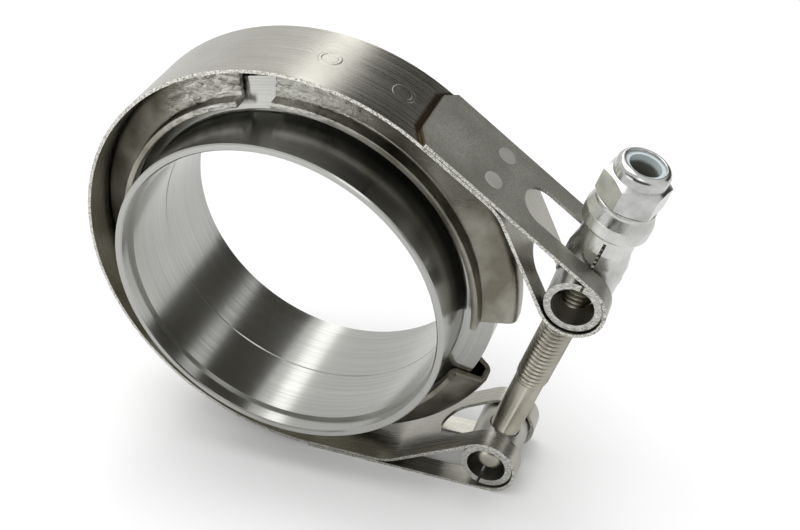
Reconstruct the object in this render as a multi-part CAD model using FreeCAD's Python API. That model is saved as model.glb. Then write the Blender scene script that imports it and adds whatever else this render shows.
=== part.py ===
import FreeCAD, Part
import math
import os

# T-bolt V band clamp, closed round the pair of weld flanges that it joins.
# The ring's axis is Y. X points to the open side, Z is up, and the origin is
# the ring's centre in the plane where the two flanges meet. The clamp stands
# on the outer leg of its lower loop, which is level.

# Pipe joint: two turned flanges with a socket for the tube
tube_od = 76.2
socket_clearance = 0.2
socket_depth = 4.0
socket_wall = 1.7
socket_stop = 0.9
flange_length = 19.7
rim_height = 7.0
rim_face_width = 2.75
flank_angle = 20.0
root_fillet = 0.8
edge_chamfer = 0.3
joint_edge_break = 0.2

# Male and female register ring in the flange faces
register_inset = 2.1
register_width = 3.0
register_height = 1.6
register_clearance = 0.2

# V segments: pressed channels, spot welded inside the band
segment_sheet = 1.5
segment_bend = 1.5
channel_headroom = 3.0
seat_gap = 0.1
weld_gap = 0.1
lip_clearance = 2.55
lip_setback = 1.75
opening_half_angle = 11.5
side_segment_angle = 100.0
segment_gap_angle = 10.5

# Strap of the band, and its two loops
strap_width = 21.3
strap_sheet = 0.8
layer_gap = 0.1
bolt_standoff = 7.7
trunnion_spacing = 56.0
doubled_length = 18.0
inner_leg_bend = 12.0
tab_end_angle = 2.1
tab_chamfer_length = 2.6
tab_chamfer_width = 3.8
nugget_d = 3.2
nugget_spacing = 10.0
nugget_setback = 2.2

# Windows that let the bolt and the sleeve through the loops
window_clearance = 0.35
window_outer_reach = 23.0
window_inner_reach = 12.5

# Trunnions: tubes rolled from strip, with an open seam
trunnion_od = 12.6
trunnion_wall = 1.55
trunnion_inset = 0.7
loop_clearance = 0.4
seam_width = 0.6

# T-bolt
shank_d = 7.1
thread_d = 7.9
plain_shank_length = 23.5
bar_inset = 0.7
bar_end_round = 2.6
bar_seat_gap = 0.15
shank_hole_clearance = 0.25
bolt_hole_clearance = 0.45
bolt_end_recess = 2.2
bolt_end_chamfer = 0.7

# Spacer sleeve between the nut and the upper trunnion
sleeve_height = 24.0
sleeve_tube_od = 12.1
sleeve_wall = 1.0
sleeve_clearance = 0.2
collar_od = 15.0
collar_length = 7.0
collar_round = 0.8
shoulder_height = 2.6
shoulder_round = 1.1
bead_od = 13.4
bead_height = 1.0
bead_round = 0.4
oval_rise = 0.9
neck_length = 4.0
saddle_gap = 0.15
ear_rise = 0.8
slit_width = 0.7
slit_margin = 1.4

# Lock nut and its nylon ring
nut_across_flats = 13.0
nut_height = 9.6
hex_height = 6.3
hex_corner_angle = 15.0
chamfer_angle = 30.0
bearing_face_d = 12.7
thread_mouth = 0.45
crown_d = 11.8
crown_round = 1.5
crown_lip = 0.6
crown_mouth_d = 8.7
crown_mouth_round = 0.3
thread_clearance = 0.12
nut_gap = 0.1
insert_od = 9.9
insert_height = 2.6
insert_gap = 0.05
insert_bore_d = 7.1

# Sizes that follow
socket_r = tube_od / 2 + socket_clearance
bore_r = socket_r - socket_stop
hub_r = socket_r + socket_wall
rim_r = hub_r + rim_height
flank_slope = math.tan(math.radians(flank_angle))
strap_inner_r = rim_r + channel_headroom + segment_sheet + weld_gap
strap_mid_r = strap_inner_r + strap_sheet / 2
tab_mid_r = strap_mid_r + strap_sheet + layer_gap
bolt_offset = strap_inner_r + bolt_standoff
trunnion_r = trunnion_od / 2
trunnion_bore_r = trunnion_r - trunnion_wall
loop_mid_r = trunnion_r + loop_clearance + strap_sheet / 2
trunnion_length = strap_width - 2 * trunnion_inset
bar_length = trunnion_length - 2 * bar_inset
thread_r = thread_d / 2
shank_r = shank_d / 2
oval_half_width = thread_r + sleeve_clearance + sleeve_wall
window_width = 2 * (oval_half_width + window_clearance)
oval_top = loop_mid_r + strap_sheet / 2 + oval_rise
neck_top = oval_top + neck_length

Y_AXIS = FreeCAD.Vector(0, 1, 0)
ORIGIN = FreeCAD.Vector(0, 0, 0)


def polar(radius, degrees, centre=ORIGIN):
    """Point in the ring's plane; angles run from the opening's centre line."""
    angle = math.radians(degrees)
    return centre + FreeCAD.Vector(radius * math.cos(angle), 0, radius * math.sin(angle))


def angle_of(vector):
    return math.degrees(math.atan2(vector.z, vector.x))


# Layout of a loop, for the upper end of the strap, in the opening's own frame
trunnion_centre = FreeCAD.Vector(bolt_offset, 0, trunnion_spacing / 2)
reach = trunnion_centre.Length
leg_normal = angle_of(trunnion_centre) + math.degrees(math.acos((tab_mid_r - loop_mid_r) / reach))
leg_out = polar(1, leg_normal)
leg_along = polar(1, leg_normal - 90)
split_point = leg_out * strap_mid_r + leg_along * doubled_length
bend_centre = split_point - leg_out * inner_leg_bend
bend_to_trunnion = trunnion_centre - bend_centre
inner_normal = angle_of(bend_to_trunnion) + math.degrees(
    math.acos((inner_leg_bend + loop_mid_r) / bend_to_trunnion.Length)
)
inner_out = polar(1, inner_normal)
inner_along = polar(1, inner_normal - 90)
tab_end = leg_normal + tab_end_angle

# The opening's centre line is turned so that the lower loop's outer leg is level
opening_angle = leg_normal - 90


def place(shape):
    """Turn a shape from the opening's frame into the clamp's own frame."""
    turned = shape.copy()
    turned.rotate(ORIGIN, Y_AXIS, -opening_angle)
    return turned


def mirrored(shape):
    """The same shape on the other side of the opening's centre line."""
    return shape.mirror(ORIGIN, FreeCAD.Vector(0, 0, 1))


def line_run(start, end):
    return ("line", start, end)


def arc_run(centre, radius, start_angle, end_angle):
    return ("arc", centre, radius, start_angle, end_angle)


def side_edge(run, offset):
    """One side of a bent sheet: a run of its middle line moved left by offset."""
    if run[0] == "line":
        start, end = run[1], run[2]
        along = (end - start).normalize()
        left = FreeCAD.Vector(-along.z, 0, along.x) * offset
        return Part.LineSegment(start + left, end + left).toShape()
    centre, radius, start_angle, end_angle = run[1:]
    turns_left = end_angle > start_angle
    side_radius = radius - offset if turns_left else radius + offset
    angles = (start_angle, (start_angle + end_angle) / 2, end_angle)
    return Part.Arc(*[polar(side_radius, angle, centre) for angle in angles]).toShape()


def sheet_face(runs, thickness):
    """Edge-on outline of a sheet of one thickness, bent along a line of tangent runs."""
    left = [side_edge(run, thickness / 2) for run in runs]
    right = [side_edge(run, -thickness / 2) for run in runs]
    starts = [edge.valueAt(edge.FirstParameter) for edge in (left[0], right[0])]
    ends = [edge.valueAt(edge.LastParameter) for edge in (left[-1], right[-1])]
    caps = [Part.LineSegment(*starts).toShape(), Part.LineSegment(*ends).toShape()]
    return Part.Face(Part.Wire(Part.__sortEdges__(left + right + caps)))


def extruded(face, width):
    """A face in the ring's plane, made as wide as given, half to each side."""
    solid = face.extrude(FreeCAD.Vector(0, width, 0))
    solid.translate(FreeCAD.Vector(0, -width / 2, 0))
    return solid


def rounded_runs(points, radius):
    """Runs through the points, with a tangent arc of one radius at each inner point."""
    runs = []
    last = points[0]
    for before, corner, after in zip(points, points[1:], points[2:]):
        arriving = (corner - before).normalize()
        leaving = (after - corner).normalize()
        turn = math.degrees(arriving.getAngle(leaving))
        side = 1 if arriving.z * leaving.x < arriving.x * leaving.z else -1
        setback = radius * math.tan(math.radians(turn / 2))
        enter = corner - arriving * setback
        left = FreeCAD.Vector(-arriving.z, 0, arriving.x)
        centre = enter + left * radius * side
        start_angle = angle_of(enter - centre)
        runs.append(line_run(last, enter))
        runs.append(arc_run(centre, radius, start_angle, start_angle + side * turn))
        last = corner + leaving * setback
    runs.append(line_run(last, points[-1]))
    return runs


def turned_profile(points):
    """Solid of revolution about Y from (y, radius) corners."""
    corners = [FreeCAD.Vector(radius, y, 0) for y, radius in points]
    return Part.Face(Part.makePolygon(corners + corners[:1])).revolve(ORIGIN, Y_AXIS, 360)


# ---------------------------------------------------------------- flanges

def flange_corners():
    """(y, radius) corners of the rear flange, from the joint face to the tube's end."""
    flank_root = rim_face_width + rim_height * flank_slope
    socket_floor = flange_length - socket_depth
    return [
        (joint_edge_break, bore_r),
        (0, bore_r + joint_edge_break),
        (0, rim_r - edge_chamfer),
        (edge_chamfer, rim_r),
        (rim_face_width, rim_r),
        (flank_root, hub_r),
        (flange_length - edge_chamfer, hub_r),
        (flange_length, hub_r - edge_chamfer),
        (flange_length, socket_r + edge_chamfer),
        (flange_length - edge_chamfer, socket_r),
        (socket_floor, socket_r),
        (socket_floor, bore_r),
    ]


def root_edges(shape):
    """The circle where the flank meets the hub."""
    root_y = rim_face_width + rim_height * flank_slope
    found = []
    for edge in shape.Edges:
        box = edge.BoundBox
        on_root = abs(box.YMin - root_y) < 0.01 and abs(box.YMax - root_y) < 0.01
        if on_root and abs(box.XMax - hub_r) < 0.01:
            found.append(edge)
    return found


def flange_blank():
    blank = turned_profile(flange_corners())
    return blank.makeFillet(root_fillet, root_edges(blank))


def register_ring(clearance):
    inner = bore_r + register_inset - clearance
    outer = bore_r + register_inset + register_width + clearance
    depth = register_height + clearance
    return turned_profile([(0, inner), (depth, inner), (depth, outer), (0, outer)])


def make_flange_rear():
    return flange_blank().cut(register_ring(register_clearance))


def make_flange_front():
    blank = flange_blank().mirror(ORIGIN, Y_AXIS)
    return blank.fuse(register_ring(0)).removeSplitter()


# ---------------------------------------------------------------- V segments

def segment_section():
    """Section of the pressed channel: radius along X, width along Z."""
    leg_shift = (seat_gap + segment_sheet / 2) / math.cos(math.radians(flank_angle))
    top_r = strap_inner_r - weld_gap - segment_sheet / 2
    lip_r = hub_r + lip_clearance + segment_sheet / 2
    lip_end = strap_width / 2 - lip_setback
    half = [FreeCAD.Vector(lip_r, 0, lip_end)]
    for radius in (lip_r, top_r):
        leg_width = rim_face_width + leg_shift + (rim_r - radius) * flank_slope
        half.append(FreeCAD.Vector(radius, 0, leg_width))
    other = [FreeCAD.Vector(point.x, 0, -point.z) for point in reversed(half)]
    return sheet_face(rounded_runs(half + other, segment_bend), segment_sheet)


def v_segment(start_angle, end_angle):
    """The channel's section swept round the ring, between two angles from the opening."""
    sector = segment_section().revolve(ORIGIN, FreeCAD.Vector(0, 0, 1), end_angle - start_angle)
    sector.rotate(ORIGIN, FreeCAD.Vector(1, 0, 0), 90)
    sector.rotate(ORIGIN, Y_AXIS, -start_angle)
    return place(sector)


# ---------------------------------------------------------------- band

def half_band_runs():
    """Middle line of the strap's upper half, from opposite the opening to the tab's end."""
    contact_out = polar(loop_mid_r, leg_normal, trunnion_centre)
    contact_in = polar(loop_mid_r, inner_normal + 180, trunnion_centre)
    bend_end = polar(inner_leg_bend, inner_normal, bend_centre)
    return [
        arc_run(ORIGIN, strap_mid_r, 180, leg_normal),
        line_run(polar(strap_mid_r, leg_normal), split_point),
        arc_run(bend_centre, inner_leg_bend, leg_normal, inner_normal),
        line_run(bend_end, contact_in),
        arc_run(trunnion_centre, loop_mid_r, inner_normal + 180, leg_normal + 360),
        line_run(contact_out, polar(tab_mid_r, leg_normal)),
        arc_run(ORIGIN, tab_mid_r, leg_normal, tab_end),
    ]


def leg_window(contact, outwards, away, length):
    """Cutter for a slot with a round end, in the leg that meets the loop at the contact."""
    depth = 2.5 * strap_sheet
    half_width = window_width / 2
    straight = Part.makeBox(length - half_width, window_width, depth)
    straight.translate(FreeCAD.Vector(0, -half_width, -depth / 2))
    round_end = Part.makeCylinder(half_width, depth, FreeCAD.Vector(length - half_width, 0, -depth / 2))
    slot = straight.fuse(round_end).removeSplitter()
    turn = FreeCAD.Matrix(
        away.x, 0, outwards.x, contact.x,
        0, 1, 0, 0,
        away.z, 0, outwards.z, contact.z,
        0, 0, 0, 1,
    )
    return slot.transformGeometry(turn)


def loop_windows():
    """Cutters for the slot that runs through both legs and round the loop."""
    contact_out = polar(loop_mid_r, leg_normal, trunnion_centre)
    contact_in = polar(loop_mid_r, inner_normal + 180, trunnion_centre)
    start = trunnion_centre - FreeCAD.Vector(0, window_width / 2, 0)
    wrap = Part.makeCylinder(loop_mid_r + strap_sheet, window_width, start, Y_AXIS)
    outer_leg = leg_window(contact_out, leg_out, leg_along * -1, window_outer_reach)
    inner_leg = leg_window(contact_in, inner_out, inner_along * -1, window_inner_reach)
    return [wrap, outer_leg, inner_leg]


def tab_corner_cuts():
    """Cutters for the two cut corners at the tab's end."""
    far = strap_width
    depth = strap_sheet + layer_gap
    base_y = strap_width / 2
    along = tab_chamfer_length
    across = tab_chamfer_width
    corners = [(0, base_y - across), (0, base_y + far), (-far, base_y + far), (-along, base_y)]
    tip = polar(tab_mid_r - depth / 2, tab_end)
    radial = polar(1, tab_end)
    onward = polar(1, tab_end + 90)
    cuts = []
    for side in (-1, 1):
        points = [tip + onward * (x + 0.001) + FreeCAD.Vector(0, side * y, 0) for x, y in corners]
        face = Part.Face(Part.makePolygon(points + points[:1]))
        cuts.append(face.extrude(radial * 2 * depth))
    return cuts


def weld_nuggets():
    """Spot welds that join the tab to the strap under it."""
    centre = leg_out * (strap_mid_r + strap_sheet / 2) + leg_along * (doubled_length - nugget_setback)
    height = layer_gap + strap_sheet / 2
    nuggets = []
    for side in (-1, 1):
        base = centre + FreeCAD.Vector(0, side * nugget_spacing / 2, 0) - leg_out * strap_sheet / 4
        nuggets.append(Part.makeCylinder(nugget_d / 2, height, base, leg_out))
    return nuggets


def make_band():
    half = extruded(sheet_face(half_band_runs(), strap_sheet), strap_width)
    half = half.cut(loop_windows() + tab_corner_cuts()).fuse(weld_nuggets())
    return place(half.fuse(mirrored(half)).removeSplitter())


# ---------------------------------------------------------------- trunnions and bolt

def trunnion(seam_side):
    """Rolled tube along Y at the origin, its seam towards (1) or away from (-1) the nut."""
    outer = Part.makeCylinder(trunnion_r, trunnion_length, ORIGIN, Y_AXIS)
    inner = Part.makeCylinder(trunnion_bore_r, trunnion_length, ORIGIN, Y_AXIS)
    seam = Part.makeBox(seam_width, trunnion_length, trunnion_od)
    seam.translate(FreeCAD.Vector(-seam_width / 2, 0, 0 if seam_side > 0 else -trunnion_od))
    tube = outer.cut([inner, seam])
    tube.translate(FreeCAD.Vector(0, -trunnion_length / 2, 0))
    return tube


def at_trunnion(shape, side):
    """Set a shape made round Z at the origin on the bolt's axis, at the upper or lower trunnion."""
    moved = shape.copy()
    moved.translate(FreeCAD.Vector(bolt_offset, 0, side * trunnion_spacing / 2))
    return place(moved)


def turned_about_bolt(points):
    """Solid of revolution about Z from (height, radius) corners."""
    corners = [FreeCAD.Vector(radius, 0, height) for height, radius in points]
    face = Part.Face(Part.makePolygon(corners + corners[:1]))
    return face.revolve(ORIGIN, FreeCAD.Vector(0, 0, 1), 360)


def rings_at(shape, height, radius):
    """The full circles round Z at a height and radius."""
    found = []
    for edge in shape.Edges:
        box = edge.BoundBox
        level = abs(box.ZMin - height) < 0.01 and abs(box.ZMax - height) < 0.01
        if edge.Closed and level and abs(box.XMax - radius) < 0.01:
            found.append(edge)
    return found


def make_bolt_trunnion():
    hole = Part.makeCylinder(shank_r + shank_hole_clearance, trunnion_od)
    return at_trunnion(trunnion(-1).cut(hole), -1)


def make_nut_trunnion():
    below = FreeCAD.Vector(0, 0, -trunnion_od)
    hole = Part.makeCylinder(thread_r + bolt_hole_clearance, 2 * trunnion_od, below)
    return at_trunnion(trunnion(1).cut(hole), 1)


def make_t_bolt():
    """Plain shank, rolled thread's outer diameter, and the cross bar inside its trunnion."""
    bar_centre = trunnion_bore_r - shank_r - bar_seat_gap
    bar = Part.makeCylinder(shank_r, bar_length, FreeCAD.Vector(0, -bar_length / 2, bar_centre), Y_AXIS)
    bar = bar.makeFillet(bar_end_round, [edge for edge in bar.Edges if edge.Closed and edge.Length > 1])
    bolt_end = trunnion_spacing + sleeve_height + nut_gap + nut_height - bolt_end_recess
    shank = Part.makeCylinder(shank_r, plain_shank_length - bar_centre, FreeCAD.Vector(0, 0, bar_centre))
    thread_start = FreeCAD.Vector(0, 0, plain_shank_length)
    threaded = Part.makeCylinder(thread_r, bolt_end - plain_shank_length, thread_start)
    threaded = threaded.makeChamfer(bolt_end_chamfer, rings_at(threaded, bolt_end, thread_r))
    return at_trunnion(shank.fuse([threaded, bar]).removeSplitter(), -1)


# ---------------------------------------------------------------- sleeve

def oval_wire(half_across, half_along_y, height):
    oval = Part.Ellipse(ORIGIN, half_across, half_along_y).toShape()
    oval.translate(FreeCAD.Vector(0, 0, height))
    return Part.Wire(oval)


def round_wire(radius, height):
    circle = Part.Circle(FreeCAD.Vector(0, 0, height), FreeCAD.Vector(0, 0, 1), radius)
    return Part.Wire(circle.toShape())


def sleeve_body(shrink):
    """Round tube above, pressed oval below; the shrunken one is its bore."""
    tube_r = sleeve_tube_od / 2
    half_across = math.sqrt(2 * tube_r ** 2 - oval_half_width ** 2)
    oval = oval_wire(half_across - shrink, oval_half_width - shrink, oval_top)
    ring = round_wire(tube_r - shrink, neck_top)
    neck = Part.makeLoft([oval, ring], True, True)
    tube = Part.Face(ring).extrude(FreeCAD.Vector(0, 0, sleeve_height - neck_top))
    foot = Part.Face(oval).extrude(FreeCAD.Vector(0, 0, ear_rise - oval_top))
    return tube.fuse([neck, foot])


def sleeve_collar():
    """Upset collar: rounded foot, full width, shoulder, and the bead that the nut bears on."""
    collar_r = collar_od / 2
    bead_r = bead_od / 2
    foot = sleeve_height - collar_length
    shoulder_top = sleeve_height - bead_height
    shoulder_foot = shoulder_top - shoulder_height
    corners = [
        (foot, 0),
        (foot, collar_r),
        (shoulder_foot, collar_r),
        (shoulder_top, bead_r),
        (sleeve_height, bead_r),
        (sleeve_height, 0),
    ]
    collar = turned_about_bolt(corners)
    rounds = [(foot, collar_r, collar_round), (shoulder_foot, collar_r, shoulder_round)]
    rounds.append((sleeve_height, bead_r, bead_round))
    for height, radius, round_radius in rounds:
        collar = collar.makeFillet(round_radius, rings_at(collar, height, radius))
    return collar


def make_spacer_sleeve():
    start = FreeCAD.Vector(0, -strap_width / 2, 0)
    saddle = Part.makeCylinder(trunnion_r + saddle_gap, strap_width, start, Y_AXIS)
    slit = Part.makeBox(slit_width, collar_od, sleeve_height - collar_length - slit_margin)
    slit.translate(FreeCAD.Vector(-slit_width / 2, -collar_od, 0))
    sleeve = sleeve_body(0).fuse(sleeve_collar()).cut([sleeve_body(sleeve_wall), saddle, slit])
    return at_trunnion(sleeve.removeSplitter(), 1)


# ---------------------------------------------------------------- nut

def nut_outline():
    """(height, radius) corners of the nut's turned form: chamfers, crown and insert pocket."""
    corner_r = nut_across_flats / math.sqrt(3)
    crown_r = crown_d / 2
    face_r = bearing_face_d / 2
    thread_bore_r = thread_r + thread_clearance
    chamfer_slope = math.tan(math.radians(chamfer_angle))
    pocket_top = nut_height - crown_lip
    pocket_floor = pocket_top - insert_height - 2 * insert_gap
    return [
        (0, thread_bore_r + thread_mouth),
        (0, face_r),
        ((corner_r - face_r) * chamfer_slope, corner_r),
        (hex_height - (corner_r - crown_r) * chamfer_slope, corner_r),
        (hex_height, crown_r),
        (nut_height, crown_r),
        (nut_height, crown_mouth_d / 2),
        (pocket_top, crown_mouth_d / 2),
        (pocket_top, insert_od / 2),
        (pocket_floor, insert_od / 2),
        (pocket_floor, thread_bore_r),
        (thread_mouth, thread_bore_r),
    ]


def hexagon_prism():
    corner_r = nut_across_flats / math.sqrt(3)
    corners = []
    for index in range(7):
        angle = math.radians(60 * index + hex_corner_angle)
        corners.append(FreeCAD.Vector(corner_r * math.cos(angle), corner_r * math.sin(angle), 0))
    return Part.Face(Part.makePolygon(corners)).extrude(FreeCAD.Vector(0, 0, nut_height))


def on_sleeve(shape):
    moved = shape.copy()
    moved.translate(FreeCAD.Vector(0, 0, sleeve_height + nut_gap))
    return at_trunnion(moved, 1)


def make_lock_nut():
    """Hexagon with both ends chamfered, and a crown whose rim is rolled over the nylon ring."""
    nut = turned_about_bolt(nut_outline()).common(hexagon_prism())
    nut = nut.makeFillet(crown_round, rings_at(nut, nut_height, crown_d / 2))
    nut = nut.makeFillet(crown_mouth_round, rings_at(nut, nut_height, crown_mouth_d / 2))
    return on_sleeve(nut)


def make_nylon_insert():
    """Ring whose bore the thread has opened up to the bolt's end, and is still narrow above it."""
    top = nut_height - crown_lip - insert_gap
    bottom = top - insert_height
    opened = nut_height - bolt_end_recess + insert_gap
    opened_r = thread_r + thread_clearance
    outline = [
        (bottom, opened_r),
        (bottom, insert_od / 2 - insert_gap),
        (top, insert_od / 2 - insert_gap),
        (top, insert_bore_d / 2),
        (opened, insert_bore_d / 2),
        (opened, opened_r),
    ]
    return on_sleeve(turned_about_bolt(outline))


def v_segments():
    """The three segments: two beside the opening, and the middle one between them."""
    upper_end = opening_half_angle + side_segment_angle
    middle_start = upper_end + segment_gap_angle
    return {
        "v_segment_upper": v_segment(opening_half_angle, upper_end),
        "v_segment_middle": v_segment(middle_start, 360 - middle_start),
        "v_segment_lower": v_segment(-upper_end, -opening_half_angle),
    }


pieces = {
    "band": make_band(),
    "flange_front": make_flange_front(),
    "flange_rear": make_flange_rear(),
    "t_bolt": make_t_bolt(),
    "bolt_trunnion": make_bolt_trunnion(),
    "nut_trunnion": make_nut_trunnion(),
    "spacer_sleeve": make_spacer_sleeve(),
    "lock_nut": make_lock_nut(),
    "nylon_insert": make_nylon_insert(),
}
pieces.update(v_segments())

os.makedirs("parts", exist_ok=True)
for node, shape in pieces.items():
    shape.exportStep("parts/" + node + ".step")
    print(node, len(shape.Solids), "solid", shape.isValid(), round(shape.Volume, 1), "mm3")
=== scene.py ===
import math

import bmesh
import bpy
from mathutils import Matrix, Vector, noise


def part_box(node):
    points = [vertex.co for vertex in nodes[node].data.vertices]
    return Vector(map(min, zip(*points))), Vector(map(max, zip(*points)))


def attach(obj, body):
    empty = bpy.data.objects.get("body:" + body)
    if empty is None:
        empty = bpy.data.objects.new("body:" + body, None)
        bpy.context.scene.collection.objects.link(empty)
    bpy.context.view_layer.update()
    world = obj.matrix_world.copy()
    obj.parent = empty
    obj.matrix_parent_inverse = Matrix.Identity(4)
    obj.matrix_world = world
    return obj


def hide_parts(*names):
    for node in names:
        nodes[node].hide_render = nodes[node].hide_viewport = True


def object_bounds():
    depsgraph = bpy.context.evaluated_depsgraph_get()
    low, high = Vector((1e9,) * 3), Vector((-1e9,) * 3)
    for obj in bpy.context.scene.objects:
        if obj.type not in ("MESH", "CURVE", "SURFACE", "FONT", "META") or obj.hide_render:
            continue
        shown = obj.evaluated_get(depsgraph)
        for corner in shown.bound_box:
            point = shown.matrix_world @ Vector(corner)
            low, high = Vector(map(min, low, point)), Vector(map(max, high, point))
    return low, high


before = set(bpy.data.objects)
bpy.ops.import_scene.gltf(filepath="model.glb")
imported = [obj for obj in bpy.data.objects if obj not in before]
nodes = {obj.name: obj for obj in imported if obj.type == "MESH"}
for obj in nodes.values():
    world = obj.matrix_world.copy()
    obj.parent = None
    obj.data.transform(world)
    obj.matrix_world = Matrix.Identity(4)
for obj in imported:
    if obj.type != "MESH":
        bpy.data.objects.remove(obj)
cad_low, cad_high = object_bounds()

# ------------------------------------------------------------------ studio
# A pale sheet under the clamp, in a white room, with soft boxes for light.
# Steel shows what it reflects, so dim cards stand where the steel is to look dark.
floor_half_width = 3.0
floor_colour = (0.93, 0.93, 0.93, 1)
fade_start, fade_end = 0.16, 0.45
floor_mesh = bmesh.new()
bmesh.ops.create_grid(floor_mesh, x_segments=1, y_segments=1, size=floor_half_width)
bmesh.ops.translate(floor_mesh, vec=(0, 0, cad_low.z), verts=floor_mesh.verts)
floor_data = bpy.data.meshes.new("studio_floor")
floor_mesh.to_mesh(floor_data)
floor_mesh.free()
floor = bpy.data.objects.new("studio_floor", floor_data)
bpy.context.scene.collection.objects.link(floor)


def new_material(name, metallic, roughness):
    """A material, its node tree, its Principled shader and its Object coordinates."""
    material = bpy.data.materials.new(name)
    material.use_nodes = True
    tree = material.node_tree
    shader = tree.nodes["Principled BSDF"]
    shader.inputs["Metallic"].default_value = metallic
    shader.inputs["Roughness"].default_value = roughness
    place = tree.nodes.new("ShaderNodeTexCoord").outputs["Object"]
    return material, tree, shader, place


def node_math(tree, operation, *values):
    """A Math node on sockets or plain numbers; gives its output socket."""
    node = tree.nodes.new("ShaderNodeMath")
    node.operation = operation
    for socket, value in zip(node.inputs, values):
        if isinstance(value, (int, float)):
            socket.default_value = value
        else:
            tree.links.new(value, socket)
    return node.outputs["Value"]


def node_vector(tree, operation, first, second=None):
    """A Vector Math node on sockets or plain vectors; gives its output socket."""
    node = tree.nodes.new("ShaderNodeVectorMath")
    node.operation = operation
    for socket, value in zip(node.inputs, (first, second)):
        if isinstance(value, tuple):
            socket.default_value = value
        elif value is not None:
            tree.links.new(value, socket)
    return node.outputs["Value" if operation in ("LENGTH", "DOT_PRODUCT") else "Vector"]


def node_range(tree, value, low, high, to_low=0, to_high=1):
    """A value between low and high, spread over another range."""
    node = tree.nodes.new("ShaderNodeMapRange")
    tree.links.new(value, node.inputs["Value"])
    for label, number in (("From Min", low), ("From Max", high), ("To Min", to_low), ("To Max", to_high)):
        node.inputs[label].default_value = number
    return node.outputs["Result"]


def node_blend(tree, factor, low, high):
    """A colour between two colours, or sockets of colour, by a mask."""
    node = tree.nodes.new("ShaderNodeMix")
    node.data_type = "RGBA"
    tree.links.new(factor, node.inputs["Factor"])
    for socket, value in ((node.inputs[6], low), (node.inputs[7], high)):
        if isinstance(value, tuple):
            socket.default_value = value
        else:
            tree.links.new(value, socket)
    return node.outputs[2]


def white_to_rays(tree):
    """1 for camera, glossy and transmission rays, 0 for the rays that carry light."""
    ray = tree.nodes.new("ShaderNodeLightPath").outputs
    seen = node_math(tree, "MAXIMUM", ray["Is Camera Ray"], ray["Is Glossy Ray"])
    return node_math(tree, "MAXIMUM", seen, ray["Is Transmission Ray"])


floor_material, tree, shader, place = new_material("white_sheet", metallic=0.0, roughness=0.9)
shader.inputs["Base Color"].default_value = floor_colour
floor_data.materials.append(floor_material)
white_paper = tree.nodes.new("ShaderNodeEmission")
fade = tree.nodes.new("ShaderNodeMixShader")
far_away = node_range(tree, node_vector(tree, "LENGTH", place), fade_start, fade_end)
tree.links.new(node_math(tree, "MULTIPLY", far_away, white_to_rays(tree)), fade.inputs["Fac"])
tree.links.new(shader.outputs["BSDF"], fade.inputs[1])
tree.links.new(white_paper.outputs["Emission"], fade.inputs[2])
tree.links.new(fade.outputs["Shader"], tree.nodes["Material Output"].inputs["Surface"])

room_light = (0.72, 0.72, 0.72, 1)
room_white = (1, 1, 1, 1)
world = bpy.data.worlds.new("white_room")
bpy.context.scene.world = world
world.use_nodes = True
tree = world.node_tree
backdrop = node_blend(tree, white_to_rays(tree), room_light, room_white)
tree.links.new(backdrop, tree.nodes["Background"].inputs["Color"])


def stand_round(thing, around, off_axis, distance):
    """Stand a lamp or card on a sphere, facing the clamp: off_axis is its angle from +Y,
    and around its angle about the ring's axis, from +X towards +Z."""
    turn, lean = math.radians(around), math.radians(off_axis)
    away = Vector((math.sin(lean) * math.cos(turn), math.cos(lean), math.sin(lean) * math.sin(turn)))
    along = Vector((-math.sin(turn), 0, math.cos(turn)))
    facing = Matrix((along, away.cross(along), away)).transposed().to_4x4()
    thing.matrix_world = Matrix.Translation(away * distance) @ facing
    thing.visible_camera = False
    bpy.context.scene.collection.objects.link(thing)


def soft_box(name, around, off_axis, distance, length, width, radiance):
    """A rectangular lamp, as bright for its area at every size."""
    lamp = bpy.data.lights.new(name, "AREA")
    lamp.shape = "RECTANGLE"
    lamp.size, lamp.size_y = length, width
    lamp.energy = radiance * math.pi * length * width
    stand_round(bpy.data.objects.new(name, lamp), around, off_axis, distance)


card_colour = (0.05, 0.047, 0.035, 1)
dim_material, tree, shader, place = new_material("dim_card", metallic=0.0, roughness=0.9)
shader.inputs["Base Color"].default_value = card_colour


def dim_card(name, around, off_axis, distance, length, width):
    """A dark card that only reflections show."""
    half_unit = 0.5
    sheet = bmesh.new()
    bmesh.ops.create_grid(sheet, x_segments=1, y_segments=1, size=half_unit)
    bmesh.ops.scale(sheet, vec=(length, width, 1), verts=sheet.verts)
    data = bpy.data.meshes.new(name)
    sheet.to_mesh(data)
    sheet.free()
    data.materials.append(dim_material)
    card = bpy.data.objects.new(name, data)
    stand_round(card, around, off_axis, distance)
    card.visible_diffuse = False
    card.visible_shadow = False


soft_box("overhead_box", around=100, off_axis=85, distance=0.9, length=0.7, width=0.7, radiance=2.7)
soft_box("rear_strip", around=107, off_axis=42, distance=0.8, length=0.15, width=0.7, radiance=1.75)
soft_box("front_left_box", around=168, off_axis=154, distance=0.30, length=0.16, width=0.17, radiance=1.6)
soft_box("camera_side_box", around=60, off_axis=135, distance=0.9, length=0.3, width=0.5, radiance=1.3)
dim_card("rear_card_low", around=8, off_axis=42, distance=0.75, length=0.46, width=0.60)
dim_card("rear_card_high", around=66, off_axis=42, distance=0.75, length=0.43, width=0.60)
dim_card("front_card", around=82, off_axis=165, distance=0.36, length=0.9, width=0.25)

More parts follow.
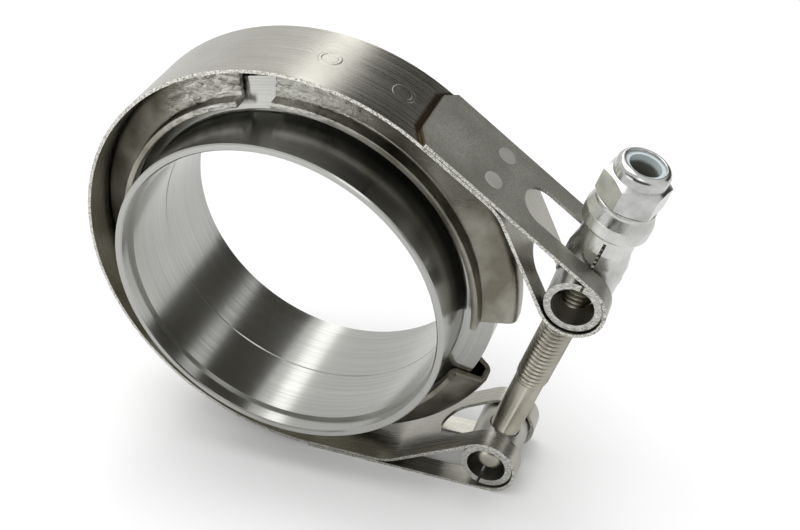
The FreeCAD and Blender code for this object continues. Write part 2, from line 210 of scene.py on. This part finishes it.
# ------------------------------------------------------------------ camera
# A three-quarter view from the front right and above, rolled a little.
azimuth, elevation, roll = math.radians(21.5), math.radians(36.6), math.radians(-1.9)
aim_distance = 0.300
sensor_width = 36.0
lens_length = 57.654
near_clip = 0.01
side_shift, rise_shift = -0.02126, 0.00319
flat = math.cos(elevation)
back = Vector((math.sin(azimuth) * flat, -math.cos(azimuth) * flat, math.sin(elevation)))
right = (-back).cross(Vector((0, 0, 1))).normalized()
up = right.cross(-back)
turn = Matrix.Rotation(roll, 3, back)
right, up = turn @ right, turn @ up
camera_data = bpy.data.cameras.new("camera")
camera_data.sensor_width = sensor_width
camera_data.lens = lens_length
camera_data.clip_start = near_clip
camera = bpy.data.objects.new("camera", camera_data)
bpy.context.scene.collection.objects.link(camera)
camera_place = back * aim_distance - right * side_shift - up * rise_shift
camera.matrix_world = Matrix.Translation(camera_place) @ Matrix((right, up, back)).transposed().to_4x4()
bpy.context.scene.camera = camera
bpy.context.scene.view_settings.view_transform = "Standard"

# ------------------------------------------------------------------ flanges
# Two steel weld flanges, turned all over on a lathe, that meet face to face
# inside the clamp. Fine tool lines run round them, on bore, rim and end face.
mm = 0.001


def new_group(name, inputs, outputs):
    """A node group with named number inputs and its default values, and number outputs."""
    group = bpy.data.node_groups.new(name, "ShaderNodeTree")
    group.interface.new_socket("Vector", in_out="INPUT", socket_type="NodeSocketVector")
    for label, value in inputs.items():
        socket = group.interface.new_socket(label, in_out="INPUT", socket_type="NodeSocketFloat")
        socket.default_value = value
    for label in outputs:
        group.interface.new_socket(label, in_out="OUTPUT", socket_type="NodeSocketFloat")
    entry = group.nodes.new("NodeGroupInput").outputs
    leave = group.nodes.new("NodeGroupOutput").inputs
    return group, entry, leave


def node_noise(tree, vector, scale, detail=2.0, roughness=0.5):
    """Soft noise read at a vector."""
    node = tree.nodes.new("ShaderNodeTexNoise")
    node.inputs["Scale"].default_value = scale
    node.inputs["Detail"].default_value = detail
    node.inputs["Roughness"].default_value = roughness
    tree.links.new(vector, node.inputs["Vector"])
    return node.outputs["Fac"]


# Noise lies near a half. Spread between these limits, it looks crisp or soft.
crisp_limits, soft_limits = (0.35, 0.65), (0.3, 0.7)

# Tool lines round the Z axis of the vector that comes in: rings on a face, and
# rings on a cylinder. They fade a little on their way round, and lie in broader bands.
radius_share = 1.3
line_swing, band_swing = 0.8, 0.5
bands_per_line = 0.12
tool_lines, entry, leave = new_group("tool_lines", {"Lines per metre": 3500.0}, ("Lines", "Bands"))
flat_place = node_vector(tool_lines, "MULTIPLY", entry["Vector"], (1, 1, 0))
radius = node_vector(tool_lines, "LENGTH", flat_place)
heading = node_vector(tool_lines, "NORMALIZE", flat_place)
parts = tool_lines.nodes.new("ShaderNodeSeparateXYZ")
tool_lines.links.new(entry["Vector"], parts.inputs["Vector"])
travel = node_math(tool_lines, "MULTIPLY_ADD", radius, radius_share, parts.outputs["Z"])
for label, ratio, swing in (("Lines", 1.0, line_swing), ("Bands", bands_per_line, band_swing)):
    line_rate = node_math(tool_lines, "MULTIPLY", entry["Lines per metre"], ratio)
    depth = node_math(tool_lines, "MULTIPLY", travel, line_rate)
    lifted = tool_lines.nodes.new("ShaderNodeCombineXYZ")
    tool_lines.links.new(depth, lifted.inputs["Z"])
    swung = node_vector(tool_lines, "MULTIPLY", heading, (swing, swing, swing))
    where = node_vector(tool_lines, "ADD", lifted.outputs["Vector"], swung)
    tool_lines.links.new(node_noise(tool_lines, where, 1.0, 3.0, 0.6), leave[label])

# Soft cloudy change of tone over a surface, and the fine tooth of the metal.
surface_tone, entry, leave = new_group(
    "surface_tone", {"Cloud scale": 90.0, "Tooth scale": 2600.0}, ("Cloud", "Tooth"))
for label, scale, detail in (("Cloud", "Cloud scale", 4.0), ("Tooth", "Tooth scale", 2.0)):
    grain = surface_tone.nodes.new("ShaderNodeTexNoise")
    grain.inputs["Detail"].default_value = detail
    surface_tone.links.new(entry["Vector"], grain.inputs["Vector"])
    surface_tone.links.new(entry[scale], grain.inputs["Scale"])
    surface_tone.links.new(grain.outputs["Fac"], leave[label])


def use_group(tree, group, vector, **values):
    """Place a node group with its own values; gives its outputs."""
    node = tree.nodes.new("ShaderNodeGroup")
    node.node_tree = group
    tree.links.new(vector, node.inputs["Vector"])
    for label, value in values.items():
        node.inputs[label.replace("_", " ").capitalize()].default_value = value
    return node.outputs


def raise_bump(tree, shader, height, distance):
    """Bump of a given depth in metres; a second call lays its bump over the first."""
    node = tree.nodes.new("ShaderNodeBump")
    node.inputs["Distance"].default_value = distance
    tree.links.new(height, node.inputs["Height"])
    if shader.inputs["Normal"].links:
        tree.links.new(shader.inputs["Normal"].links[0].from_socket, node.inputs["Normal"])
    tree.links.new(node.outputs["Normal"], shader.inputs["Normal"])


def move_to(tree, place, centre, turn=(0, 0, 0)):
    """Object coordinates moved to a centre, then turned."""
    moved = node_vector(tree, "SUBTRACT", place, tuple(centre))
    node = tree.nodes.new("ShaderNodeMapping")
    node.inputs["Rotation"].default_value = turn
    tree.links.new(moved, node.inputs["Vector"])
    return node.outputs["Vector"]


def dress(node, material):
    """Give a CAD node its finish."""
    for slot in nodes[node].material_slots:
        slot.material = material


quarter_turn = math.pi / 2
band_colours = (0.38, 0.38, 0.36, 1), (0.46, 0.46, 0.44, 1)
groove_colour = (0.27, 0.27, 0.25, 1)
groove_roughness = 0.15, 0.22
cloud_roughness = 0.06
gloss_stretch = 0.6
groove_depth = 0.005 * mm
turned_steel, tree, shader, place = new_material("turned_steel", metallic=1.0, roughness=0.2)
shader.inputs["Anisotropic"].default_value = gloss_stretch
spun = move_to(tree, place, (0, 0, 0), (quarter_turn, 0, 0))
lines = use_group(tree, tool_lines, spun, lines_per_metre=4200.0)
tone = use_group(tree, surface_tone, place, cloud_scale=60.0)
bright = node_blend(tree, lines["Bands"], *band_colours)
grooves = node_range(tree, lines["Lines"], *crisp_limits, to_high=0.45)
tree.links.new(node_blend(tree, grooves, bright, groove_colour), shader.inputs["Base Color"])
satin = node_range(tree, lines["Lines"], *soft_limits, *groove_roughness)
clouded = node_math(tree, "MULTIPLY_ADD", tone["Cloud"], cloud_roughness, satin)
tree.links.new(clouded, shader.inputs["Roughness"])
raise_bump(tree, shader, lines["Lines"], groove_depth)
ring_run = node_vector(tree, "CROSS_PRODUCT", (0, 1, 0), place)
facing = tree.nodes.new("ShaderNodeNewGeometry").outputs["Normal"]
tree.links.new(node_vector(tree, "CROSS_PRODUCT", facing, ring_run), shader.inputs["Tangent"])
dress("flange_front", turned_steel)
dress("flange_rear", turned_steel)

# ------------------------------------------------------------------ V segments
# Three channels pressed from steel strip and spot welded inside the band. Their
# flanks wedge the rims together, and the press has wrinkled them by the top gap.
lower_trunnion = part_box("bolt_trunnion")
upper_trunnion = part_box("nut_trunnion")
lower_axis = (lower_trunnion[0] + lower_trunnion[1]) / 2
upper_axis = (upper_trunnion[0] + upper_trunnion[1]) / 2
bolt_line = (upper_axis - lower_axis).normalized()
ring_lean = math.atan2(bolt_line.x, bolt_line.z)
segment_sheet = 1.5 * mm
segment_bend = 1.5 * mm
seat_gap = 0.1 * mm
hub_radius = 40.0 * mm
rim_radius = 47.0 * mm
rim_half_width = 2.75 * mm
lip_clearance = 2.55 * mm
segment_outer_radius = 51.5 * mm
lip_radius = hub_radius + lip_clearance + segment_sheet / 2
web_radius = segment_outer_radius - segment_sheet / 2
lip_half_width = 8.9 * mm
flank_angle = math.radians(20)
opening_half_angle = 11.5
side_segment_angle = 100.0
segment_gap_angle = 10.5
wrinkle_length = 26 * mm
wrinkle_depth = 0.75 * mm
wrinkle_fade, wrinkle_edge = 1.5, 0.7
fold_along, fold_up, fold_across = 260, 420, 60
slant_along, slant_up = 160, 120
crease_along, crease_up, crease_across = 700, 900, 100
crease_start = 7
even_swell, fold_swell, crease_swell = 0.5, 1.1, 0.35
angle_step = 0.5
bend_steps = 5
longest_edge = 0.6 * mm
broken_edge = 0.25 * mm
sharp_angle = 35


def finish_piece(mesh, name, body, *node_names):
    """Make a bmesh a smooth object that rides on a body and stands for CAD nodes."""
    data = bpy.data.meshes.new(name)
    for face in mesh.faces:
        face.smooth = True
    mesh.to_mesh(data)
    mesh.free()
    data.set_sharp_from_angle(angle=math.radians(sharp_angle))
    piece = bpy.data.objects.new(name, data)
    bpy.context.scene.collection.objects.link(piece)
    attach(piece, body)
    if node_names:
        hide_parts(*node_names)
    return piece


def round_edges(piece, width, angle=40):
    """A live bevel that breaks the sharp edges."""
    bevel = piece.modifiers.new("broken_edges", "BEVEL")
    bevel.width = width
    bevel.segments = 2
    bevel.limit_method = "ANGLE"
    bevel.angle_limit = math.radians(angle)
    level = piece.modifiers.new("even_shading", "WEIGHTED_NORMAL")
    level.weight = 90


def segment_middle_line():
    """The middle of the sheet: lip, flank, web, flank and lip, with rounded bends."""
    shift = (seat_gap + segment_sheet / 2) / math.cos(flank_angle)
    half = [(lip_radius, -lip_half_width)]
    for radius in (lip_radius, web_radius):
        half.append((radius, -(rim_half_width + shift + (rim_radius - radius) * math.tan(flank_angle))))
    whole = half + [(radius, -width) for radius, width in reversed(half)]
    line = bmesh.new()
    points = [line.verts.new((radius, width, 0)) for radius, width in whole]
    for first, second in zip(points, points[1:]):
        line.edges.new((first, second))
    trim = segment_bend * math.tan((math.pi / 2 - flank_angle) / 2)
    bmesh.ops.bevel(line, geom=points[1:-1], offset=trim, offset_type="OFFSET", segments=bend_steps,
                    profile=0.5, affect="VERTICES", material=-1)
    for edge in list(line.edges):
        cuts = int(edge.calc_length() / longest_edge)
        if cuts:
            bmesh.ops.subdivide_edges(line, edges=[edge], cuts=cuts)
    return line


def wrinkled_segment(name, start, end, wrinkled_end):
    """Sweep the channel round the ring. Angles run from the opening, towards the top."""
    channel = segment_middle_line()
    axis = Vector((0, -1, 0))
    bmesh.ops.rotate(channel, verts=channel.verts, cent=(0, 0, 0),
                     matrix=Matrix.Rotation(math.radians(start) - ring_lean, 3, axis))
    steps = round((end - start) / angle_step)
    bmesh.ops.spin(channel, geom=channel.verts[:] + channel.edges[:], cent=(0, 0, 0), axis=axis,
                   angle=math.radians(end - start), steps=steps, use_merge=False)
    if wrinkled_end is not None:
        ending = math.radians(wrinkled_end) - ring_lean
        for vert in channel.verts:
            radius = math.hypot(vert.co.x, vert.co.z)
            apart = abs(math.remainder(math.atan2(vert.co.z, vert.co.x) - ending, math.tau)) * radius
            up_flank = min(max((radius - lip_radius) / (web_radius - lip_radius), 0), 1)
            fade = max(1 - apart / wrinkle_length, 0) ** wrinkle_fade
            fade *= math.sin(up_flank * math.pi) ** wrinkle_edge
            side = vert.co.y
            fold = noise.noise(Vector((apart * fold_along + radius * slant_up,
                                       radius * fold_up - apart * slant_along, side * fold_across)))
            crease = noise.noise(Vector((apart * crease_along, radius * crease_up,
                                         crease_start + side * crease_across)))
            swell = max(even_swell + fold * fold_swell + crease * crease_swell, 0)
            vert.co.y += math.copysign(wrinkle_depth * fade * swell, vert.co.y)
    bmesh.ops.recalc_face_normals(channel, faces=channel.faces)
    piece = finish_piece(channel, name + "_pressed", "clamp", name)
    wall = piece.modifiers.new("sheet", "SOLIDIFY")
    wall.thickness = segment_sheet
    wall.offset = 0
    round_edges(piece, broken_edge, angle=50)
    return piece


def shaded_by(tree, shader, place, colours, roughness, tooth_depth, **scales):
    """Cloudy colour and roughness, and the tooth of the metal as bump."""
    tone = use_group(tree, surface_tone, place, **{"cloud_scale": 110.0, **scales})
    spread = node_range(tree, tone["Cloud"], *crisp_limits)
    tree.links.new(node_blend(tree, spread, *colours), shader.inputs["Base Color"])
    tree.links.new(node_range(tree, tone["Cloud"], *soft_limits, *roughness), shader.inputs["Roughness"])
    raise_bump(tree, shader, tone["Tooth"], tooth_depth)


def paint_over(tree, shader, mask, colour):
    """Lay a colour over the one the shader has, by a mask."""
    below = shader.inputs["Base Color"].links[0].from_socket
    tree.links.new(node_blend(tree, mask, below, colour), shader.inputs["Base Color"])


def streaks(tree, place, rates, detail=3.0, roughness=0.6):
    """Noise drawn out by its rates per metre along X, Y and Z."""
    return node_noise(tree, node_vector(tree, "MULTIPLY", place, rates), 1.0, detail, roughness)


upper_end = opening_half_angle + side_segment_angle
middle_start = upper_end + segment_gap_angle
top_gap = math.radians(upper_end + segment_gap_angle / 2) - ring_lean
galling_radius = 48 * mm
galling_side = -8.64 * mm
galled_fully, galled_last = 6 * mm, 30 * mm
galling_rates = (420, 300, 700)
galling_depth = 1.3 * mm
streak_limits = (0.36, 0.56)
galled_colour = (0.94, 0.93, 0.87, 1)
# The channels' cloudy tone is partly their own and partly painted shade. These colours are kept darker than
# the other steels, and their dark brown patches, laid by noise, stand in for the shade in the channels'
# hollows under the band.
pressed_tone_and_shade_colours = (0.15, 0.14, 0.11, 1), (0.33, 0.32, 0.275, 1)
pressed_steel, tree, shader, place = new_material("pressed_steel", metallic=1.0, roughness=0.3)
shaded_by(tree, shader, place, pressed_tone_and_shade_colours, roughness=(0.26, 0.4), tooth_depth=0.05 * mm)
gap_place = (math.cos(top_gap) * galling_radius, galling_side, math.sin(top_gap) * galling_radius)
from_gap = node_vector(tree, "LENGTH", node_vector(tree, "SUBTRACT", place, gap_place))
galled = node_range(tree, from_gap, galled_fully, galled_last, 1, 0)
scuffs = streaks(tree, place, galling_rates, detail=4.0, roughness=0.65)
lighter = node_math(tree, "MULTIPLY", galled, node_range(tree, scuffs, *streak_limits, to_low=0.3))
paint_over(tree, shader, lighter, galled_colour)
raise_bump(tree, shader, node_math(tree, "MULTIPLY", galled, scuffs), galling_depth)

for name, start, end, wrinkled_end in (
    ("v_segment_upper", opening_half_angle, upper_end, upper_end),
    ("v_segment_middle", middle_start, 360 - middle_start, middle_start),
    ("v_segment_lower", 360 - upper_end, 360 - opening_half_angle, None),
):
    segment = wrinkled_segment(name, start, end, wrinkled_end)
    segment.data.materials.append(pressed_steel)

# ------------------------------------------------------------------ band
# One strip of stainless strap, bent into a loop at each end and spot welded back
# on itself. Its long edges are sheared, its faces keep the mill's rolling lines.
strap_sheet = 0.8 * mm
strap_half_width = 10.65 * mm
strap_outer_radius = 52.4 * mm
layer_gap = 0.1 * mm
edge_break = 0.12 * mm
merge_distance = 1e-6
tab_start = math.radians(54.0)
corner_length, corner_width = 2.6 * mm, 3.8 * mm
tab_outer_radius = strap_outer_radius + layer_gap + strap_sheet
tab_middle_radius = tab_outer_radius - strap_sheet / 2
loop_middle_radius = 7.1 * mm
from_axis = math.hypot(upper_axis.x, upper_axis.z)
tangent_turn = math.acos((tab_middle_radius - loop_middle_radius) / from_axis)
leg_angle = math.atan2(upper_axis.z, upper_axis.x) + tangent_turn
leg_inside, leg_outside = 50.5 * mm, 51.5 * mm
upper_from, upper_full = -12 * mm, -8 * mm


def copy_of_node(node):
    """The CAD node's mesh, its loose triangles merged into one skin."""
    skin = bmesh.new()
    skin.from_mesh(nodes[node].data)
    bmesh.ops.remove_doubles(skin, verts=skin.verts, dist=merge_distance)
    return skin


def side_facing(tree):
    """How squarely a face looks along Y, to the clamp's front or back."""
    parts = tree.nodes.new("ShaderNodeSeparateXYZ")
    tree.links.new(tree.nodes["Texture Coordinate"].outputs["Normal"], parts.inputs["Vector"])
    return node_math(tree, "ABSOLUTE", parts.outputs["Y"])


band = finish_piece(copy_of_node("band"), "band_strap", "clamp", "band")
round_edges(band, edge_break)

rolling_rates = (25, 4200, 25)
rolled_colours = (0.31, 0.30, 0.26, 1), (0.38, 0.37, 0.33, 1)
line_colour = (0.47, 0.46, 0.42, 1)
blasted_colours = (0.31, 0.305, 0.265, 1), (0.50, 0.495, 0.45, 1)
speck_colour = (0.22, 0.215, 0.18, 1)
# Painted shadow: a thin dark brown line on the strap, just before the tab's tip, stands in for the shade in
# the gap along the tab's step.
step_shadow_colour = (0.085, 0.062, 0.035, 1)
edge_colours = (0.20, 0.195, 0.17, 1), (0.66, 0.65, 0.60, 1)
step_shadow_from, step_shadow_full = -2.0 * mm, -1.2 * mm
tip_from, tip_full = -0.1 * mm, 0.2 * mm
strap_roughness = 0.22, 0.36
matt_roughness = 0.14
rolling_depth = 0.012 * mm
blasting_depth = 0.06 * mm
shear_depth = 0.06 * mm
shear_scale = 3600.0
shear_rates = (1, 0.2, 1)
edge_facing = (0.80, 0.97)
strap_steel, tree, shader, place = new_material("strap_steel", metallic=1.0, roughness=0.3)
rolled = streaks(tree, place, rolling_rates)
tone = use_group(tree, surface_tone, place, cloud_scale=70.0)
clouds = node_range(tree, tone["Cloud"], *crisp_limits)
past_step = node_vector(tree, "DOT_PRODUCT", place, (math.sin(tab_start), 0, -math.cos(tab_start)))
strap_place = tree.nodes.new("ShaderNodeSeparateXYZ")
tree.links.new(place, strap_place.inputs["Vector"])
upper_half = node_range(tree, strap_place.outputs["Z"], upper_from, upper_full)
leg_depth = node_vector(tree, "DOT_PRODUCT", place, (math.cos(leg_angle), 0, math.sin(leg_angle)))
outer_leg = node_math(tree, "MULTIPLY", upper_half, node_range(tree, leg_depth, leg_inside, leg_outside))
from_middle = node_math(tree, "ABSOLUTE", strap_place.outputs["Y"])
off_middle = node_math(tree, "SUBTRACT", from_middle, strap_half_width - corner_width)
corner_slope = corner_length / corner_width
cut_corner = node_math(tree, "MAXIMUM", node_math(tree, "MULTIPLY", off_middle, corner_slope), 0)
past_tip = node_math(tree, "SUBTRACT", past_step, cut_corner)
on_tab = node_range(tree, past_tip, tip_from, tip_full)
matt = node_math(tree, "MULTIPLY", outer_leg, on_tab)
before_tip = node_range(tree, past_tip, tip_from, 0, 1, 0)
# The dark line before the tab's tip is painted shadow of the tab's step.
painted_step_shadow = node_math(tree, "MULTIPLY", node_range(tree, past_tip, step_shadow_from, step_shadow_full), before_tip)
painted_step_shadow = node_math(tree, "MULTIPLY", painted_step_shadow, upper_half)
steel = node_blend(tree, clouds, *rolled_colours)
lined = node_blend(tree, node_range(tree, rolled, *crisp_limits, to_high=0.35), steel, line_colour)
specks = node_range(tree, tone["Tooth"], *crisp_limits, to_high=0.5)
blasted = node_blend(tree, specks, node_blend(tree, clouds, *blasted_colours), speck_colour)
finished = node_blend(tree, matt, lined, blasted)
tree.links.new(node_blend(tree, painted_step_shadow, finished, step_shadow_colour), shader.inputs["Base Color"])
satin = node_range(tree, rolled, *soft_limits, *strap_roughness)
tree.links.new(node_math(tree, "MULTIPLY_ADD", matt, matt_roughness, satin), shader.inputs["Roughness"])
smooth = node_math(tree, "SUBTRACT", 1, matt)
raise_bump(tree, shader, node_math(tree, "MULTIPLY", rolled, smooth), rolling_depth)
raise_bump(tree, shader, node_math(tree, "MULTIPLY", tone["Tooth"], matt), blasting_depth)
sheared = node_range(tree, side_facing(tree), *edge_facing)
ticks = node_noise(tree, node_vector(tree, "MULTIPLY", place, shear_rates), shear_scale, detail=1.0)
edge_tone = node_blend(tree, node_range(tree, ticks, *streak_limits), *edge_colours)
paint_over(tree, shader, sheared, edge_tone)
raise_bump(tree, shader, node_math(tree, "MULTIPLY", sheared, ticks), shear_depth)
band.data.materials.append(strap_steel)

# ------------------------------------------------------------------ weld marks
# Spot welds show through the band. They leave two faint raised rings on the strap,
# and two flat pads on the tab.
ring_marks = ((80.5, 0.035 * mm), (61.6, 0.014 * mm))
ring_size = 2.2 * mm
ring_bead = 0.5 * mm
bead_flatness = 0.18
round_steps = 32
ring_steps = 48
spot_radius = 2.2 * mm
spot_taper = 0.98
spot_height = 0.035 * mm
spot_along = 16.6 * mm
spot_sides = (-4.4 * mm, 5.5 * mm)
spot_colours = (0.50, 0.50, 0.46, 1), (0.66, 0.66, 0.61, 1)


def stand_on_strap(mesh, start, angle, radius, along, across):
    """Put what lies round the origin, facing +Z, on the strap's outer face."""
    outward = Vector((math.cos(angle), 0, math.sin(angle)))
    onward = Vector((math.sin(angle), 0, -math.cos(angle)))
    facing = Matrix((onward, Vector((0, 1, 0)), outward)).transposed()
    place = outward * radius + onward * along + Vector((0, across, 0))
    moved = mesh.verts[start:]
    bmesh.ops.rotate(mesh, verts=moved, cent=(0, 0, 0), matrix=facing)
    bmesh.ops.translate(mesh, verts=moved, vec=place)


weld_mesh = bmesh.new()
for degrees, bead_height in ring_marks:
    start = len(weld_mesh.verts)
    bead = bmesh.ops.create_circle(weld_mesh, cap_ends=False, segments=round_steps, radius=ring_bead)["verts"]
    bmesh.ops.rotate(weld_mesh, verts=bead, cent=(0, 0, 0), matrix=Matrix.Rotation(quarter_turn, 3, "X"))
    bmesh.ops.scale(weld_mesh, verts=bead, vec=(1, 1, bead_flatness))
    bmesh.ops.translate(weld_mesh, verts=bead, vec=(ring_size, 0, bead_height - ring_bead * bead_flatness))
    loop = bead + list({edge for vert in bead for edge in vert.link_edges})
    bmesh.ops.spin(weld_mesh, geom=loop, cent=(0, 0, 0), axis=(0, 0, 1), angle=math.tau,
                   steps=ring_steps, use_merge=True)
    weld_mesh.verts.ensure_lookup_table()
    stand_on_strap(weld_mesh, start, math.radians(degrees), strap_outer_radius, 0, 0)
for spot_side in spot_sides:
    start = len(weld_mesh.verts)
    bmesh.ops.create_cone(weld_mesh, cap_ends=True, segments=round_steps, radius1=spot_radius,
                          radius2=spot_radius * spot_taper, depth=spot_height * 2)
    for face in {face for vert in weld_mesh.verts[start:] for face in vert.link_faces}:
        face.material_index = 1
    weld_mesh.verts.ensure_lookup_table()
    stand_on_strap(weld_mesh, start, leg_angle, tab_outer_radius, spot_along, spot_side)
bmesh.ops.remove_doubles(weld_mesh, verts=weld_mesh.verts, dist=merge_distance)
bmesh.ops.recalc_face_normals(weld_mesh, faces=weld_mesh.faces)
weld_marks = finish_piece(weld_mesh, "band_weld_marks", "clamp")
weld_marks.data.materials.append(strap_steel)
spot_steel, tree, shader, place = new_material("spot_steel", metallic=1.0, roughness=0.4)
shaded_by(tree, shader, place, spot_colours, roughness=(0.36, 0.48), tooth_depth=0.02 * mm)
weld_marks.data.materials.append(spot_steel)

# ------------------------------------------------------------------ T-bolt
# A steel bolt with its cross bar inside the lower loop's tube. The thread is
# rolled from the shank, so its crests stand proud of the plain length.
thread_pitch = 1.25 * mm
crest_radius = 3.95 * mm
root_radius = 3.24 * mm
plain_length = 23.5 * mm
bolt_reach = 87.5 * mm
bolt_chamfer = 0.9 * mm
steps_per_turn = 40
crest_round = 0.06 * mm
thread_overlap = 0.6 * mm
run_out_length = 1.2 * mm
run_out_slope = 0.22
shank_cut_back = 0.01 * mm
cut_tolerance = 1e-7
end_from, end_full = bolt_reach - 0.4 * mm, bolt_reach - 0.1 * mm
bolt_colours = (0.30, 0.285, 0.235, 1), (0.42, 0.40, 0.345, 1)
sheared_colour = (0.11, 0.105, 0.085, 1)

bolt_turn = Matrix.Rotation(ring_lean, 4, "Y")
bolt_place = Matrix.Translation(lower_axis) @ bolt_turn


def cut_flat(mesh, place, facing):
    """Cut a mesh on a plane, clear what lies behind it and close the cut."""
    cut = bmesh.ops.bisect_plane(mesh, geom=mesh.verts[:] + mesh.edges[:] + mesh.faces[:],
                                 dist=cut_tolerance, plane_co=place, plane_no=facing, clear_inner=True)
    rim = [edge for edge in cut["geom_cut"] if isinstance(edge, bmesh.types.BMEdge)]
    bmesh.ops.triangle_fill(mesh, edges=rim, use_beauty=True)


def threaded_rod(first, last):
    """A rolled thread round Z, from one height to another, closed at both ends."""
    rod = bmesh.new()
    shoulder_radius = crest_radius - crest_round
    profile = [(root_radius, 0), (root_radius, 0.14), (shoulder_radius, 0.46), (crest_radius, 0.52),
               (crest_radius, 0.60), (shoulder_radius, 0.66), (root_radius, 0.98), (root_radius, 1)]
    start = first - thread_pitch
    points = [rod.verts.new((radius, 0, start + share * thread_pitch)) for radius, share in profile]
    ridge = [rod.edges.new(pair) for pair in zip(points, points[1:])]
    turns = math.ceil((last - first) / thread_pitch) + 2
    steps = turns * steps_per_turn
    rise = Vector((0, 0, thread_pitch / steps_per_turn))
    bmesh.ops.spin(rod, geom=points + ridge, cent=(0, 0, 0), axis=(0, 0, 1), dvec=rise,
                   angle=math.tau * turns, steps=steps, use_merge=False)
    bmesh.ops.remove_doubles(rod, verts=rod.verts, dist=merge_distance)
    for height, keep in ((first, 1), (last, -1)):
        cut_flat(rod, (0, 0, height), (0, 0, keep))
    bmesh.ops.recalc_face_normals(rod, faces=rod.faces)
    return rod


rod = threaded_rod(plain_length - thread_overlap, bolt_reach)
for vert in rod.verts:
    off_axis = math.hypot(vert.co.x, vert.co.y)
    allowed = crest_radius - max(vert.co.z - (bolt_reach - bolt_chamfer), 0)
    run_out = plain_length + run_out_length - vert.co.z
    if run_out > 0:
        allowed = min(allowed, crest_radius - run_out * run_out_slope)
    if off_axis > allowed:
        vert.co.x *= allowed / off_axis
        vert.co.y *= allowed / off_axis
bmesh.ops.transform(rod, matrix=bolt_place, verts=rod.verts)
thread = finish_piece(rod, "bolt_thread", "clamp")

shank = copy_of_node("t_bolt")
cut_flat(shank, bolt_place @ Vector((0, 0, plain_length - shank_cut_back)), -bolt_line)
shank_piece = finish_piece(shank, "bolt_shank", "clamp", "t_bolt")

bolt_steel, tree, shader, place = new_material("bolt_steel", metallic=1.0, roughness=0.3)
from_bar = node_vector(tree, "SUBTRACT", place, tuple(lower_axis))
along_bolt = node_vector(tree, "DOT_PRODUCT", from_bar, tuple(bolt_line))
sheared_end = node_range(tree, along_bolt, end_from, end_full)
shaded_by(tree, shader, place, bolt_colours, roughness=(0.24, 0.38), tooth_depth=0.01 * mm)
paint_over(tree, shader, sheared_end, sheared_colour)
for piece in (thread, shank_piece):
    piece.data.materials.append(bolt_steel)

# ------------------------------------------------------------------ trunnions
# Two short tubes rolled from strip, one in each loop. The ends keep the saw's
# lines, and the rolled seam stays open.
tube_colours = (0.34, 0.335, 0.295, 1), (0.47, 0.465, 0.43, 1)
saw_rates = (900, 100, 3400)
saw_colours = (0.26, 0.26, 0.235, 1), (0.66, 0.66, 0.62, 1)
saw_depth = 0.12 * mm
saw_limits = (0.38, 0.62)
end_facing = (0.9, 0.98)
tube_steel, tree, shader, place = new_material("tube_steel", metallic=1.0, roughness=0.3)
shaded_by(tree, shader, place, tube_colours, roughness=(0.26, 0.42), tooth_depth=0.02 * mm)
cut_end = node_range(tree, side_facing(tree), *end_facing)
saw_lines = streaks(tree, place, saw_rates)
saw_tone = node_blend(tree, node_range(tree, saw_lines, *saw_limits), *saw_colours)
paint_over(tree, shader, cut_end, saw_tone)
raise_bump(tree, shader, node_math(tree, "MULTIPLY", cut_end, saw_lines), saw_depth)
dress("bolt_trunnion", tube_steel)
dress("nut_trunnion", tube_steel)

# ------------------------------------------------------------------ spacer sleeve
# A zinc plated sleeve between the nut and the upper tube, turned round at the
# top, pressed oval below and slit down one side. The plating is satin, with runs.
satin_zinc = (0.43, 0.43, 0.41, 1), (0.60, 0.60, 0.58, 1)
run_rates = (900, 900, 60)
run_depth = 0.02 * mm
plating_depth = 0.012 * mm
plating_roughness = 0.2, 0.4
plated_sleeve, tree, shader, place = new_material("plated_sleeve", metallic=1.0, roughness=0.3)
upright = move_to(tree, place, upper_axis, (0, -ring_lean, 0))
runs = streaks(tree, upright, run_rates)
tone = use_group(tree, surface_tone, place, cloud_scale=160.0, tooth_scale=3800.0)
zinc = node_blend(tree, node_range(tree, tone["Cloud"], *crisp_limits), *satin_zinc)
tree.links.new(zinc, shader.inputs["Base Color"])
tree.links.new(node_range(tree, runs, *soft_limits, *plating_roughness), shader.inputs["Roughness"])
raise_bump(tree, shader, runs, run_depth)
raise_bump(tree, shader, tone["Tooth"], plating_depth)
dress("spacer_sleeve", plated_sleeve)

# ------------------------------------------------------------------ lock nut
# A bright zinc plated hexagon nut, turned and tapped. Its chamfered top is drawn in
# to a crown, which is rolled over the ring that grips the thread.
bright_zinc = (0.36, 0.365, 0.355, 1), (0.52, 0.525, 0.51, 1)
plated_nut, tree, shader, place = new_material("plated_nut", metallic=1.0, roughness=0.2)
shaded_by(tree, shader, place, bright_zinc, roughness=(0.12, 0.26), tooth_depth=0.01 * mm,
          cloud_scale=260.0, tooth_scale=3000.0)
dress("lock_nut", plated_nut)

# ------------------------------------------------------------------ nylon ring
# A pale blue moulded nylon ring, held in the nut's crown. The thread presses its
# own way through it.
nylon_colours = (0.50, 0.58, 0.60, 1), (0.68, 0.74, 0.76, 1)
moulding_depth = 0.02 * mm
nylon, tree, shader, place = new_material("nylon", metallic=0.0, roughness=0.35)
tone = use_group(tree, surface_tone, place, cloud_scale=400.0)
tree.links.new(node_blend(tree, tone["Cloud"], *nylon_colours), shader.inputs["Base Color"])
raise_bump(tree, shader, tone["Tooth"], moulding_depth)
dress("nylon_insert", nylon)
